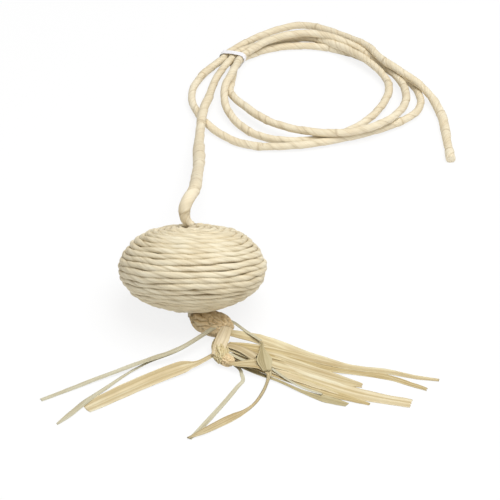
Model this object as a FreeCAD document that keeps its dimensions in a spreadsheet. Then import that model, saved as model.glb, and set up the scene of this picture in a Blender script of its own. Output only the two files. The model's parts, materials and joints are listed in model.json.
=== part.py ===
import FreeCAD, Part
import Sketcher
import math
import os

# A ball wound with twisted husk rope, threaded on a husk-covered cord. The cord is knotted
# below the ball, where a tassel of dry leaf strips is tied in. The rest of the cord lies in
# a loose coil held by a flat tie. Millimetres, +Z up, everything lies on the plane Z = 0.
# The origin is on that plane, at the middle of the ball and tassel's footprint.

V = FreeCAD.Vector
doc = FreeCAD.newDocument("husk_ball")

# ---- driving sizes -------------------------------------------------------------------

SIZES = [
    ("ball_diameter", 81.5, "ball across its equator, over the rope"),
    ("ball_height", 47.6, "ball from pole to pole, over the rope"),
    ("ball_x", -26, "ball centre"),
    ("ball_y", 35.9, "ball centre"),
    ("tilt_back", 27.5, "lean of the ball's axis away from the tassel, degrees"),
    ("strand_thick", 3.8, "twisted rope wound round the ball"),
    ("groove_depth", 1.3, "groove between two turns of the rope"),
    ("glue_line", 0.2, "between core and rope"),
    ("cord_thick", 5.4, "cord across its husk cover"),
    ("bore_clearance", 0.4, "running clearance round the cord in the ball"),
    ("seat_gap", 0.3, "between pieces that bear on each other"),
    ("knot_width", 28, "stopper knot along its length"),
    ("knot_depth", 18, "stopper knot across"),
    ("knot_height", 11.6, "stopper knot, from the ground up"),
    ("knot_turn", -33, "direction of the knot's length, degrees"),
    ("knot_x", 10.5, "knot centre, right of the ball's bottom pole"),
    ("knot_y", -9.4, "knot centre, in front of the ball's bottom pole"),
    ("knot_bite", 3.5, "length of cord inside the knot"),
    ("gather_width", 9.5, "bundle of leaf butts below the knot"),
    ("gather_depth", 22, "bundle of leaf butts, front to back"),
    ("gather_height", 7.4, "bundle of leaf butts, from the ground up"),
    ("gather_y", -20.5, "bundle centre, in front of the knot centre"),
    ("gather_x", 5.2, "bundle centre, right of the knot centre"),
    ("leaf_thick", 0.4, "one dry leaf strip"),
    ("tassel_width", 209.6, "tassel from its left tip to its right tip"),
    ("coil_x", 41.7, "coil centre"),
    ("coil_y", 272.4, "coil centre"),
    ("coil_outer", 156, "coil across its outermost turn"),
    ("coil_inner", 95, "clear middle of the coil"),
    ("coil_bevel", 2.4, "bevel of the coil's edges"),
    ("tie_x", -48.2, "tie centre, right of the coil centre"),
    ("tie_y", 37.5, "tie centre, behind the coil centre"),
    ("tie_turn", -20, "direction of the tie across the strands, degrees"),
    ("tie_width", 4, "flat tie, along the strands"),
    ("tie_thick", 0.5, "flat tie"),
    ("tied_strands", 3, "strands side by side inside the tie"),
    ("strand_layers", 2, "strands on top of one another in the coil and in the tie"),
]

sheet = doc.addObject("Spreadsheet::Sheet", "Sizes")
for row, (alias, value, meaning) in enumerate(SIZES, start=1):
    sheet.set(f"A{row}", meaning)
    sheet.set(f"B{row}", str(value))
    sheet.setAlias(f"B{row}", alias)
doc.recompute()


def size(alias):
    return float(sheet.get(alias))


SUBPARTS = []


def subpart(thing, label):
    thing.Label = label
    SUBPARTS.append(thing)
    return thing


def shaped(label, shape, placement=None):
    """A sub-part whose shape is worked out in code from the sheet's sizes."""
    thing = subpart(doc.addObject("Part::Feature", label), label)
    thing.Shape = shape
    if placement:
        thing.Placement = placement
    return thing


def bind(thing, **sizes):
    for prop, expression in sizes.items():
        thing.setExpression(prop, expression)
    return thing


# ---- where the ball stands -------------------------------------------------------------

HALF_WIDE = size("ball_diameter") / 2
HALF_TALL = size("ball_height") / 2
BALL_TURN = FreeCAD.Rotation(V(1, 0, 0), -size("tilt_back"))
AXIS = BALL_TURN.multVec(V(0, 0, 1))
# Height at which the leaning ball just rests on the ground.
REST_HEIGHT = math.hypot(HALF_WIDE * math.sqrt(1 - AXIS.z ** 2), HALF_TALL * AXIS.z)
CENTRE = V(size("ball_x"), size("ball_y"), REST_HEIGHT)
BALL_PLACE = FreeCAD.Placement(CENTRE, BALL_TURN)
POLE = CENTRE + AXIS * HALF_TALL
BOTTOM_POLE = CENTRE - AXIS * HALF_TALL
BORE_R = size("cord_thick") / 2 + size("bore_clearance")


# ---- turned pieces of the ball ----------------------------------------------------------

def meridian(phi, inset=0.0):
    """Point of the ball's side view at parametric latitude phi, moved in along the normal."""
    point = V(HALF_WIDE * math.cos(phi), 0, HALF_TALL * math.sin(phi))
    normal = V(math.cos(phi) / HALF_WIDE, 0, math.sin(phi) / HALF_TALL).normalize()
    return point - normal * inset


def even_latitudes(steps):
    """Latitudes from the top mouth to the bottom mouth, evenly spaced along the surface."""
    fine = 4000
    mouth = math.acos(BORE_R / HALF_WIDE)
    phis = [mouth - 2 * mouth * k / fine for k in range(fine + 1)]
    run = [0.0]
    for before, after in zip(phis, phis[1:]):
        run.append(run[-1] + (meridian(after) - meridian(before)).Length)
    latitudes = []
    k = 0
    for step in range(steps + 1):
        while k < fine and run[k] < run[-1] * step / steps:
            k += 1
        latitudes.append(phis[k])
    return latitudes, run[-1]


def bored(points):
    """The same outline with its two ends brought to the wall of the bore."""
    return [V(BORE_R, 0, points[0].z)] + points[1:-1] + [V(BORE_R, 0, points[-1].z)]


def closed_solid(faces):
    """One solid from flat faces that meet edge to edge."""
    shell = Part.Compound([Part.Face(Part.makePolygon(f + f[:1])) for f in faces])
    shell.sewShape()
    return Part.Solid(Part.Shell(shell.Faces))


def band(ring, beyond):
    """Flat four-cornered faces between two rings with as many corners."""
    following = ring[1:] + ring[:1], beyond[1:] + beyond[:1]
    return [list(corners) for corners in zip(ring, following[0], following[1], beyond)]


def turned(outline, hollow=True):
    """Solid round the Z axis, with narrow flats all the way round.

    A hollow one goes round a closed outline. A full one has its outline from top to bottom.
    """
    steps = [2 * math.pi * k / TURNED_FLATS for k in range(TURNED_FLATS)]
    rings = [[V(p.x * math.cos(a), p.x * math.sin(a), p.z) for a in steps] for p in outline]
    faces = [] if hollow else [rings[0], rings[-1]]
    for ring, beyond in zip(rings, rings[1:] + (rings[:1] if hollow else [])):
        faces += band(ring, beyond)
    return closed_solid(faces)


TURNED_FLATS = 32
CORE_TAPERS = 10
core_latitudes, meridian_length = even_latitudes(CORE_TAPERS)
under_rope = bored([meridian(phi, size("strand_thick")) for phi in core_latitudes])

# Core: pressed body in straight tapers, bored through for the cord.
core_inset = size("strand_thick") + size("glue_line")
core_outline = bored([meridian(phi, core_inset) for phi in core_latitudes])
shaped("ball_core", turned(core_outline), BALL_PLACE)

# Rope winding: one strand laid turn beside turn from the top mouth to the bottom mouth.
# The crests of the turns lie on the ball's outline, the grooves between them are set in.
rope_turns = round(meridian_length / size("strand_thick"))
rope_latitudes, _ = even_latitudes(2 * rope_turns)
over_rope = bored(
    [meridian(phi, 0 if k % 2 else size("groove_depth")) for k, phi in enumerate(rope_latitudes)]
)
shaped("ball_winding", turned(over_rope + under_rope[::-1]), BALL_PLACE)

# Room that the ball needs, for the pieces that bear on it.
ball_room = doc.addObject("Part::Feature", "ball_room")
room_latitudes, _ = even_latitudes(2 * CORE_TAPERS)
ball_room.Shape = turned([meridian(phi, -size("seat_gap")) for phi in room_latitudes], False)
ball_room.Placement = BALL_PLACE


# ---- cord ------------------------------------------------------------------------------

# Inside the ball the cord runs straight along the bore, from the knot to the top pole.
cord_in_ball = subpart(doc.addObject("Part::Cylinder", "cord_in_ball"), "cord_in_ball")
bind(
    cord_in_ball,
    Radius="Sizes.cord_thick / 2",
    Height="Sizes.ball_height + Sizes.knot_bite",
)
cord_in_ball.Placement = FreeCAD.Placement(
    BOTTOM_POLE - AXIS * size("knot_bite"), BALL_TURN
)

# Straight piece with which the cord leaves the bore.
EXIT_RUN = 4.5

# Route of the cord from the ball's top pole back down to the coil.
LEAD_ROUTE = [
    POLE,
    POLE + AXIS * EXIT_RUN,
    V(-30.4, 50.9, 61.5),
    V(-28.4, 61.6, 63.3),
    V(-24.6, 74.4, 57.0),
    V(-25.3, 93.5, 45.5),
    V(-25.5, 121.0, 32.0),
    V(-25.0, 152.0, 20.5),
    V(-26.3, 183.4, 12.0),
    V(-25.8, 208.4, 9.0),
    V(-24.9, 233.0, 8.1),
]

# Route of the cord's free end, off the top of the coil and along the ground.
TAIL_ROUTE = [
    V(118.2, 264.4, 8.0),
    V(126.0, 249.9, 4.4),
    V(130.2, 229.4, 2.7),
    V(129.8, 206.4, 2.7),
    V(130.6, 184.4, 2.7),
]


# Share of a straight run that the bend at its end may take up.
BEND_SHARE = 0.45


def cord_path(route, name):
    """Straight runs joined by tangent arcs, each as large as its two runs allow."""
    edges = []
    start = route[0]
    radii = []
    for before, corner, after in zip(route, route[1:], route[2:]):
        back = before - corner
        ahead = after - corner
        turn = math.pi - back.getAngle(ahead)
        set_back = BEND_SHARE * min(back.Length, ahead.Length)
        radii.append(set_back / math.tan(turn / 2))
        arc_start = corner + back.normalize() * set_back
        arc_end = corner + ahead.normalize() * set_back
        inward = (back + ahead).normalize()
        middle = corner + inward * radii[-1] * (1 / math.cos(turn / 2) - 1)
        edges.append(Part.LineSegment(start, arc_start).toShape())
        edges.append(Part.Arc(arc_start, middle, arc_end).toShape())
        start = arc_end
    edges.append(Part.LineSegment(start, route[-1]).toShape())
    print(f"{name}: bend radii", [round(radius, 1) for radius in radii])
    return Part.Wire(edges)


def cord_tube(label, route):
    path = cord_path(route, label)
    section = Part.Circle(route[0], route[1] - route[0], size("cord_thick") / 2)
    tube = path.makePipeShell([Part.Wire(section.toShape())], True, False)
    area = math.pi * size("cord_thick") ** 2 / 4
    print(f"{label}: length {path.Length:.1f}, volume share {tube.Volume / area / path.Length:.4f}")
    return shaped(label, tube)


cord_tube("cord_lead", LEAD_ROUTE)
cord_tube("cord_tail", TAIL_ROUTE)


# ---- coil: outer shape of the loose turns, two strands high ---------------------------------

coil_body = doc.addObject("PartDesign::Body", "coil_body")
ground = [f for f in coil_body.Origin.OriginFeatures if f.Role == "XY_Plane"][0]
ring = coil_body.newObject("Sketcher::SketchObject", "coil_ring")
ring.AttachmentSupport = (ground, [""])
ring.MapMode = "FlatFace"
for diameter in ("coil_outer", "coil_inner"):
    circle = ring.addGeometry(Part.Circle(V(0, 0, 0), V(0, 0, 1), size(diameter) / 2), False)
    ring.addConstraint(Sketcher.Constraint("Coincident", circle, 3, -1, 1))
    index = ring.addConstraint(Sketcher.Constraint("Diameter", circle, size(diameter)))
    ring.setExpression(f"Constraints[{index}]", f"Sizes.{diameter}")
coil_pad = coil_body.newObject("PartDesign::Pad", "coil_pad")
coil_pad.Profile = ring
coil_pad.setExpression("Length", "Sizes.cord_thick * Sizes.strand_layers")
doc.recompute()
coil_edges = [
    f"Edge{k}" for k, edge in enumerate(coil_pad.Shape.Edges, start=1)
    if isinstance(edge.Curve, Part.Circle)
]
coil_bevel = coil_body.newObject("PartDesign::Chamfer", "coil_bevel")
coil_bevel.Base = (coil_pad, coil_edges)
coil_bevel.setExpression("Size", "Sizes.coil_bevel")
coil_body.Tip = coil_bevel
coil_body.Placement = FreeCAD.Placement(
    V(size("coil_x"), size("coil_y"), 0), FreeCAD.Rotation()
)


# ---- tie: flat band round the strands, and the waist it draws in the coil --------------------

TIE_PLACE = FreeCAD.Placement(
    V(size("coil_x") + size("tie_x"), size("coil_y") + size("tie_y"), 0),
    FreeCAD.Rotation(V(0, 0, 1), size("tie_turn")),
)
STRANDS_LONG = "Sizes.tied_strands * Sizes.cord_thick"
STRANDS_HIGH = "Sizes.strand_layers * Sizes.cord_thick"


def tie_box(name, long, high, wide, underside):
    """A box across the strands, centred on the tie, its underside at the given height."""
    box = bind(doc.addObject("Part::Box", name), Length=long, Width=wide, Height=high)
    doc.recompute()
    box.Placement = TIE_PLACE * FreeCAD.Placement(
        V(-box.Length.Value / 2, -box.Width.Value / 2, underside), FreeCAD.Rotation()
    )
    return box


def cut(name, base, tool):
    result = doc.addObject("Part::Cut", name)
    result.Base = base
    result.Tool = tool
    return result


tie_outside = tie_box(
    "tie_outside",
    f"{STRANDS_LONG} + 2 * Sizes.seat_gap + 2 * Sizes.tie_thick",
    f"{STRANDS_HIGH} + 2 * Sizes.seat_gap + 2 * Sizes.tie_thick",
    "Sizes.tie_width",
    0,
)
tie_inside = tie_box(
    "tie_inside",
    f"{STRANDS_LONG} + 2 * Sizes.seat_gap",
    f"{STRANDS_HIGH} + 2 * Sizes.seat_gap",
    "Sizes.tie_width * 3",
    size("tie_thick"),
)
subpart(cut("coil_tie", tie_outside, tie_inside), "coil_tie")

waist_outside = tie_box(
    "waist_outside",
    f"{STRANDS_LONG} * 3",
    f"{STRANDS_HIGH} * 2",
    "Sizes.tie_width + 2 * Sizes.seat_gap",
    -size("cord_thick"),
)
waist_inside = tie_box(
    "waist_inside",
    STRANDS_LONG,
    STRANDS_HIGH,
    "Sizes.tie_width * 3",
    size("tie_thick") + size("seat_gap"),
)
waist = cut("waist", waist_outside, waist_inside)
subpart(cut("cord_coil", coil_body, waist), "cord_coil")


# ---- knot under the ball, and the bundle of leaf butts below it -------------------------------

KNOT = V(BOTTOM_POLE.x + size("knot_x"), BOTTOM_POLE.y + size("knot_y"), size("knot_height") / 2)
GATHER = V(KNOT.x + size("gather_x"), KNOT.y + size("gather_y"), size("gather_height") / 2)
LUMP_CORNERS = 10
# Heights of a lump's rings, as shares of half its height before its ends are cut flat.
LUMP_LEVELS = (-0.96, -0.72, -0.2, 0.36, 0.8, 0.96)


def lump(name, width, depth, height, centre, turn=0.0):
    """Rounded lump of folded leaf with flat facets, standing on the ground."""
    corners = [2 * math.pi * k / LUMP_CORNERS for k in range(LUMP_CORNERS)]
    rings = []
    for level in LUMP_LEVELS:
        reach = math.sqrt(1 - level ** 2)
        rings.append([
            V(
                size(width) / 2 * reach * math.cos(a),
                size(depth) / 2 * reach * math.sin(a),
                size(height) / 2 * level / LUMP_LEVELS[-1],
            )
            for a in corners
        ])
    faces = [rings[0], rings[-1]]
    for ring, above in zip(rings, rings[1:]):
        faces += band(ring, above)
    thing = doc.addObject("Part::Feature", name)
    thing.Shape = closed_solid(faces)
    thing.Placement = FreeCAD.Placement(centre, FreeCAD.Rotation(V(0, 0, 1), turn))
    return thing


# The knot's top is hollowed by the ball that bears on it.
knot_lump = lump(
    "knot_lump", "knot_width", "knot_depth", "knot_height", KNOT, size("knot_turn")
)
subpart(cut("knot", knot_lump, ball_room), "knot")
gather_lump = lump("gather_lump", "gather_width", "gather_depth", "gather_height", GATHER)
subpart(cut("leaf_gather", gather_lump, knot_lump), "leaf_gather")


# ---- tassel: dry leaf strips -------------------------------------------------------------------

# Each strip's underside from butt to tip: right of the knot, behind it, height above the
# ground, width. Laid out for a tassel as wide as NATURAL_WIDTH.
LEAVES = {
    "leaf_left_long": [
        (2, -7.5, 8.6, 2.5), (-19.2, -23.5, 5.5, 3.2), (-46.1, -35.5, 1.5, 3.4),
        (-66.7, -46.3, 0.2, 3.2), (-88.3, -58.4, 0, 2.2),
    ],
    "leaf_left_fine": [
        (0.5, -8, 7.2, 1.4), (-19.2, -24.7, 4.2, 1.3), (-33.5, -31.2, 2, 1.3),
        (-49, -41.3, 0.2, 1.9), (-59.2, -54.4, 0.5, 2.2), (-69.4, -65.5, 0.5, 3.4),
        (-78.3, -77.3, 0, 1.2),
    ],
    "leaf_left_broad": [
        (3, -22.7, 3.2, 3.2), (-10.5, -28.8, 2, 5), (-28.3, -41.9, 0.4, 8.6),
        (-55.2, -60, 0, 9), (-64.7, -65.5, 0, 7.5),
    ],
    "leaf_front_folded": [
        (5.5, -25.1, 2.4, 1.6), (14.7, -34, 1.2, 1.8), (17.4, -42.5, 0, 2.2),
        (6.5, -62.4, 0, 3), (-4.1, -81.1, 0, 3.2), (-9.5, -88.4, 0, 2.2),
    ],
    "leaf_front_lens": [
        (6.5, -29, 3.2, 2.4), (12.6, -34.1, 4, 3.4), (23, -34.5, 4.8, 7), (29.7, -36, 5, 8),
        (31.3, -42.5, 3.2, 3), (27.9, -51.1, 0.8, 1.8), (21.1, -63.1, 0, 1.8),
        (15.5, -68.7, 0, 4.4), (7.5, -75.2, 0, 5.8), (-3, -83.4, 0.7, 4.4),
        (-10.6, -88, 0.6, 1),
    ],
    "leaf_right_thin": [
        (4, -1.6, 7, 1.8), (10.7, -0.6, 7.2, 1.8), (18.5, -8.5, 7, 1.8), (27, -17.5, 7.4, 1.4),
    ],
    "leaf_right_first": [
        (4.5, -8.6, 7, 3), (21.1, -12.7, 5.9, 4.6), (29.7, -15.8, 5.2, 5.2),
        (46.9, -23.8, 3.5, 5.2), (68.1, -30.7, 2, 4.4), (93.7, -33.9, 0, 3.4),
        (109.3, -39.3, 0, 3), (121.3, -41.7, 0, 1.6),
    ],
    "leaf_right_second": [
        (9.5, -17.6, 5, 3), (27.5, -22.7, 4.8, 4.6), (47.8, -29, 2.8, 5.2), (71.7, -35, 1, 4.6),
        (96.6, -39.3, 0, 3.2), (105.8, -44.2, 0, 3), (114.4, -48.7, 0, 1.6),
    ],
    "leaf_right_third": [
        (9.5, -20.1, 4.2, 3), (31.8, -28.7, 3.6, 5), (60.9, -40.5, 1.75, 4.6),
        (80.3, -46.3, 0, 2.4),
    ],
    "leaf_right_broad": [
        (9, -23.7, 2.7, 3.6), (37, -35.5, 2.2, 6.2), (60.7, -46.7, 1.3, 6.4),
        (81.4, -54.4, 0, 6), (105.1, -60.8, 0, 4),
    ],
    "leaf_right_fifth": [
        (8.5, -24.9, 1.9, 3), (39.6, -41.1, 1.4, 5), (63.1, -52.9, 0.45, 4.4),
        (83.4, -61.2, 0, 2.4),
    ],
    "leaf_right_sixth": [
        (8, -25.1, 1.1, 3), (46.4, -47, 0.5, 3.8), (60.4, -55.7, 0, 4), (71.7, -61.6, 0, 2.8),
    ],
    "leaf_right_fine": [
        (9, -24.3, 4.6, 1.8), (22.1, -32.6, 3.6, 1.8), (32.2, -38.1, 2.7, 1.8),
        (58.8, -54.3, 1, 1.4),
    ],
    "leaf_knot_tab": [
        (8.5, -7, 9, 5.5), (5.9, -17, 7.5, 7), (2.9, -27, 5.4, 5),
    ],
    "leaf_stub": [
        (8, -18.5, 5.9, 3.2), (16.5, -22.5, 6.2, 5), (24.5, -29, 5.8, 6),
    ],
}
LEAF_REACHES = [station[0] for stations in LEAVES.values() for station in stations]
NATURAL_WIDTH = max(LEAF_REACHES) - min(LEAF_REACHES)
SPREAD = size("tassel_width") / NATURAL_WIDTH


def leaf_shape(stations):
    """Flat strip with square edges through its cross-sections, each side split in two flats."""
    sections = []
    for k, (x, y, underside, width) in enumerate(stations):
        before = stations[max(k - 1, 0)]
        after = stations[min(k + 1, len(stations) - 1)]
        along = V(after[0] - before[0], after[1] - before[1], 0).normalize()
        across = V(-along.y, along.x, 0) * (width / 2)
        low = V(KNOT.x + x * SPREAD, KNOT.y + y * SPREAD, underside)
        high = low + V(0, 0, size("leaf_thick"))
        sections.append([low - across, low + across, high + across, high - across])
    faces = [sections[0], sections[-1]]
    for section, beyond in zip(sections, sections[1:]):
        for a, b, c, d in band(section, beyond):
            faces += [[a, b, c], [a, c, d]]
    return closed_solid(faces)


for label, stations in LEAVES.items():
    shaped(label, leaf_shape(stations))


# ---- check and write ---------------------------------------------------------------------------

doc.recompute()
for thing in doc.Objects:
    if "Invalid" in thing.State or "Error" in thing.State:
        raise RuntimeError(f"{thing.Label} failed")
for thing in SUBPARTS:
    if thing.Shape.isNull() or not thing.Shape.isValid():
        raise RuntimeError(f"{thing.Label} has no valid shape")

os.makedirs("parts", exist_ok=True)
for thing in SUBPARTS:
    thing.Shape.exportStep(f"parts/{thing.Label}.step")
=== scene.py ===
import bisect
import bmesh
import bpy
import json
import math
import random
from mathutils import Matrix, Vector, noise


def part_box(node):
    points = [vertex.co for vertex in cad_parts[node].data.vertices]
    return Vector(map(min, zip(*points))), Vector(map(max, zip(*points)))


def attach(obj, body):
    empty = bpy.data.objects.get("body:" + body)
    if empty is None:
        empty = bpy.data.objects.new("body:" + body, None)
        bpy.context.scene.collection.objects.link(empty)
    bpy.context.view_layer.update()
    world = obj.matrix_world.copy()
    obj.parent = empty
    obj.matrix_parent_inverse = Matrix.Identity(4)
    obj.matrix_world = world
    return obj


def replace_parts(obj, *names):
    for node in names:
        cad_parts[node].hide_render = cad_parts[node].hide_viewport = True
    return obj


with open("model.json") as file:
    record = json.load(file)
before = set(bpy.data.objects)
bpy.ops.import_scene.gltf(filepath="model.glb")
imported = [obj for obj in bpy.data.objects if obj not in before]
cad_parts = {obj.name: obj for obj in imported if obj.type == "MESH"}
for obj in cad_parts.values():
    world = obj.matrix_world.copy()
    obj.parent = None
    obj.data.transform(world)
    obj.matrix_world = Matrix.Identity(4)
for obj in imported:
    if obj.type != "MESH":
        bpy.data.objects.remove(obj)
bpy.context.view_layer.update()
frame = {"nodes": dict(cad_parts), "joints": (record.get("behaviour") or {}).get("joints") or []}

MM = 0.001
TAU = 2 * math.pi
scene = bpy.context.scene


def add_object(name, data):
    """New object of the scene."""
    thing = bpy.data.objects.new(name, data)
    scene.collection.objects.link(thing)
    return thing


def finished(name, mesh, material):
    """New object of the scene, from a bmesh that is complete and in one material."""
    shape = bpy.data.meshes.new(name)
    mesh.to_mesh(shape)
    mesh.free()
    shape.materials.append(material)
    return add_object(name, shape)


# ---- camera ----------------------------------------------------------------------------

SENSOR = 36.0  # millimetres across
LENS = 132.3
CAMERA_PLACE = (0.00556, -0.7741, 0.6290)
CAMERA_TILT = math.radians(54.0)  # 0 looks straight down


def make_camera():
    data = bpy.data.cameras.new("camera")
    data.sensor_width = SENSOR
    data.lens = LENS
    data.clip_end = 10.0
    camera = add_object("camera", data)
    camera.location = CAMERA_PLACE
    camera.rotation_euler = (CAMERA_TILT, 0.0, 0.0)
    scene.camera = camera


make_camera()


# ---- where the solids stand ---------------------------------------------------------------

def middle_of(name):
    """Middle of a solid's box, millimetres."""
    low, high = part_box(name)
    return (low + high) / 2 / MM


KNOT = middle_of("knot")
SPIN = next(joint for joint in frame["joints"] if joint["name"] == "ball_spin")
BALL_WIDE = 0.0815
BALL_TALL = 0.0476
BALL_CENTRE = Vector(SPIN["pos_m"])
BALL_AXIS = Vector(SPIN["axis"]).normalized()
TOP_POLE = BALL_CENTRE + BALL_AXIS * BALL_TALL / 2
BOTTOM_POLE = BALL_CENTRE - BALL_AXIS * BALL_TALL / 2
BALL_RIGHT = (Vector((1, 0, 0)) - BALL_AXIS * BALL_AXIS.x).normalized()
BALL_BACK = BALL_AXIS.cross(BALL_RIGHT)


def on_ball(x, y, z):
    """Point in the frame from one measured along the ball's right, back and axis."""
    return BALL_CENTRE + BALL_RIGHT * x + BALL_BACK * y + BALL_AXIS * z


# ---- route of the cord -------------------------------------------------------------------

CORD_THICK = 0.0054
ON_FLOOR = 2.7  # millimetres, height of the middle of a strand that lies on the floor
ONE_UP = 5.4  # how much higher one strand lies on another

# Control points from the ball's top to the tie, and from the coil to the free end.
LEAD_ROUTE = [
    (-26.0, 46.89, 49.39), (-29.2, 47.5, 51.0), (-30.4, 48.6, 54.6), (-30.2, 50.1, 58.8),
    (-27.4, 55.6, 62.3), (-24.9, 64.5, 61.2), (-24.6, 74.4, 57.0), (-25.3, 93.5, 45.5),
    (-25.5, 121.0, 32.0), (-25.0, 152.0, 20.5), (-26.3, 183.4, 12.0),
    (-25.8, 208.4, 9.0), (-24.9, 233.0, 8.1), (-20.6, 252.0, 7.7), (-18.6, 268.5, 6.9),
    (-13.4, 286.0, 7.2),
]
TAIL_ROUTE = [
    (118.2, 264.4, 8.0), (126.0, 249.9, 4.4), (130.2, 229.4, 2.7), (129.8, 206.4, 2.7),
    (130.6, 184.4, 2.7),
]

# The turns lie a little nearer than the middle of the solid ring.
COIL_MIDDLE = middle_of("cord_coil") + Vector((0.0, -7.7, 0.0))
COIL_START = 136.0  # bearing of the tie from the middle of the coil, degrees
STEPS_PER_TURN = 14

# Each turn: its distance from the middle at every step, and how many strands it lies on.
TURNS = [
    ([70.1, 69.7, 57.2, 54.9, 57.8, 54.3, 54.4, 57.8, 61.6, 64.0, 60.0, 54.8, 49.4],
     [0.0, 0.52, 0.92, 0.81, 0.31, 0.39, 0.16, 0.04, 0.0, 0.0, 0.41, 1.11, 1.47]),
    ([62.6, 66.2, 63.5, 60.1, 65.3, 69.9, 70.5, 65.6, 56.8, 50.9, 47.4, 50.6, 50.4],
     [1.42, 1.63, 1.11, 0.65, 0.68, 0.91, 1.23, 1.13, 1.04, 0.92, 0.93, 0.56, 0.03]),
    ([62.7, 62.3, 61.4, 62.6, 74.8, 80.3, 67.8, 62.6, 67.5, 78.0, 77.3, 77.3, 72.4],
     [0.02, 0.04, 0.02, 0.0, 0.0, 0.15, 0.2, 0.19, 0.19, 0.0, 0.14, 0.4, 0.0]),
]
# The end of the last turn: bearing in degrees, distance, and how many strands it lies on.
LAST_TURN = [
    (110, 81.8, 0.0), (91, 90.9, 0.2), (78, 80.5, 0.49), (66, 71.4, 0.91),
    (46, 63.9, 1.61), (31, 58.0, 1.65), (12, 63.2, 1.73),
]

# The tie: where it is, where each strand passes through it, across and height, and how far
# the strands run straight before it and behind it.
TIE_MIDDLE = (middle_of("coil_tie") + Vector((0.5, -7.3, 0.0))).xy
STRANDS_ALONG = math.radians(70.0)
TIE_SLOTS = [(0.0, 7.5), (5.4, 7.4), (2.7, 3.2), (-5.4, 6.8)]
TIE_STRAIGHT = (-5.0, 6.0)


def through_tie(across, height):
    """Two points of the route, one each side of the tie."""
    ahead = Vector((math.cos(STRANDS_ALONG), math.sin(STRANDS_ALONG)))
    side = Vector((ahead.y, -ahead.x))
    points = []
    for step in TIE_STRAIGHT:
        spot = TIE_MIDDLE + side * across + ahead * step
        points.append((spot.x, spot.y, height))
    return points


def on_coil(bearing, distance, level):
    """Point of the coil, from a bearing in degrees, a distance and a number of strands below."""
    angle = math.radians(bearing)
    return (
        COIL_MIDDLE.x + distance * math.cos(angle),
        COIL_MIDDLE.y + distance * math.sin(angle),
        ON_FLOOR + ONE_UP * level,
    )


def cord_route():
    """Control points of the whole cord, from the ball's top to the free end, millimetres."""
    route = list(LEAD_ROUTE)
    for (distances, levels), slot in zip(TURNS, TIE_SLOTS):
        route += through_tie(*slot)
        for step, (distance, level) in enumerate(zip(distances, levels), start=1):
            route.append(on_coil(COIL_START - step * 360.0 / STEPS_PER_TURN, distance, level))
    route += through_tie(*TIE_SLOTS[-1])
    route += [on_coil(*stop) for stop in LAST_TURN]
    return route + TAIL_ROUTE


def smooth_line(points, fine=16):
    """Points along the open quadratic spline with these control points."""
    data = bpy.data.curves.new("line", "CURVE")
    data.dimensions = "3D"
    data.resolution_u = fine
    spline = data.splines.new("NURBS")
    spline.points.add(len(points) - 1)
    for point, place in zip(spline.points, points):
        point.co = (*place, 1.0)
    spline.order_u = 3
    spline.use_endpoint_u = True
    holder = bpy.data.objects.new("line", data)
    mesh = bpy.data.meshes.new_from_object(holder)
    line = [v.co.copy() for v in mesh.vertices]
    bpy.data.meshes.remove(mesh)
    bpy.data.objects.remove(holder)
    bpy.data.curves.remove(data)
    return line


def evenly(line, gap):
    """The same line with its points a gap apart, and its length."""
    along = [0.0]
    for before, after in zip(line, line[1:]):
        along.append(along[-1] + (after - before).length)
    count = max(2, round(along[-1] / gap))
    spots = []
    at = 0
    for step in range(count + 1):
        goal = along[-1] * step / count
        while at < len(line) - 2 and along[at + 1] < goal:
            at += 1
        share = (goal - along[at]) / max(along[at + 1] - along[at], 1e-9)
        spots.append(line[at].lerp(line[at + 1], min(max(share, 0.0), 1.0)))
    return spots, along[-1]


def profile(name, radii):
    """Closed cross-section with these radii, evenly round."""
    data = bpy.data.curves.new(name, "CURVE")
    data.dimensions = "2D"
    spline = data.splines.new("POLY")
    spline.points.add(len(radii) - 1)
    for k, (point, radius) in enumerate(zip(spline.points, radii)):
        angle = TAU * k / len(radii)
        point.co = (radius * math.cos(angle), radius * math.sin(angle), 0.0, 1.0)
    spline.use_cyclic_u = True
    return bpy.data.objects.new(name, data)


def swept(name, line, section, thickness, turning):
    """Mesh of a strand along a line: its own cross-section, thickness and twist all along."""
    data = bpy.data.curves.new(name, "CURVE")
    data.dimensions = "3D"
    data.twist_mode = "MINIMUM"
    data.bevel_mode = "OBJECT"
    data.bevel_object = section
    spline = data.splines.new("POLY")
    spline.points.add(len(line) - 1)
    for point, place, radius, tilt in zip(spline.points, line, thickness, turning):
        point.co = (*place, 1.0)
        point.radius = radius
        point.tilt = tilt % TAU
    holder = add_object(name, data)
    bpy.context.view_layer.update()
    graph = bpy.context.evaluated_depsgraph_get()
    mesh = bpy.data.meshes.new_from_object(holder.evaluated_get(graph))
    mesh.name = name
    bpy.data.objects.remove(holder)
    bpy.data.curves.remove(data)
    return add_object(name, mesh)


def ripple(place, size, seed=0.0):
    """Smooth random number from -1 to 1 that changes over this size."""
    return noise.noise(Vector(place) / size + Vector((seed, seed * 0.7, seed * 1.3)))


def lay_uv(thing, sides, gap, girth):
    """UV of a swept strand, in millimetres: along it, and round it."""
    mesh = thing.data
    layer = mesh.uv_layers[0] if mesh.uv_layers else mesh.uv_layers.new(name="UVMap")
    for face in mesh.polygons:
        round_it = [mesh.loops[k].vertex_index % sides for k in face.loop_indices]
        wraps = max(round_it) - min(round_it) > sides // 2
        for k in face.loop_indices:
            ring, side = divmod(mesh.loops[k].vertex_index, sides)
            if wraps and side == 0:
                side = sides
            layer.data[k].uv = (ring * gap / MM, side * girth / MM / sides)


def paint_crease_shade(thing, sides, painted_shades):
    """Paints shade on each point of a swept strand by how far down in a crease it lies, from 0 to
    1.
    """
    layer = thing.data.attributes.new("crease", "FLOAT", "POINT")
    for k in range(len(thing.data.vertices)):
        layer.data[k].value = painted_shades[k % sides]


def smooth(thing):
    for face in thing.data.polygons:
        face.use_smooth = True


# ---- materials -------------------------------------------------------------------------

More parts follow.
